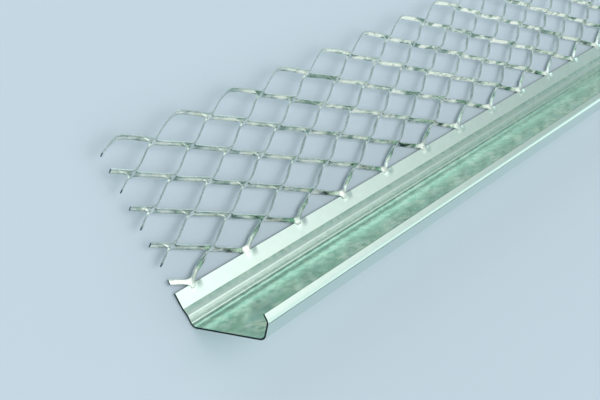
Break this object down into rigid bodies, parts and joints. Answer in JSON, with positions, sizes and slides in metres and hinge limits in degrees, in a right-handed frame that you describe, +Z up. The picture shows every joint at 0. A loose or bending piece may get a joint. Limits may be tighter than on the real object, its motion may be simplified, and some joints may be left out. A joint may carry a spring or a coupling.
{
  "type": "render stop bead",
  "caption": "Long galvanised steel edge bead for render: a flat flange with an expanded-metal wing on one side and a sloping stop wall with a folded nose and lip on the other.",
  "frame": {"origin": "centre of the bead's footprint on the floor it lies on", "axes": "+X along the bead, away from the end the picture shows; +Y from the stop wall towards the free edge of the mesh wing; +Z up, off the floor"},
  "size_m": [2.5, 0.0528, 0.0199],
  "materials": {
    "galvanised_steel": "galvanised zinc, bright with a faint spangle"
  },
  "bodies": {
    "root": {"stop_profile": "galvanised_steel", "mesh_wing_1": "galvanised_steel", "mesh_wing_2": "galvanised_steel", "mesh_wing_3": "galvanised_steel"}
  },
  "joints": []
}
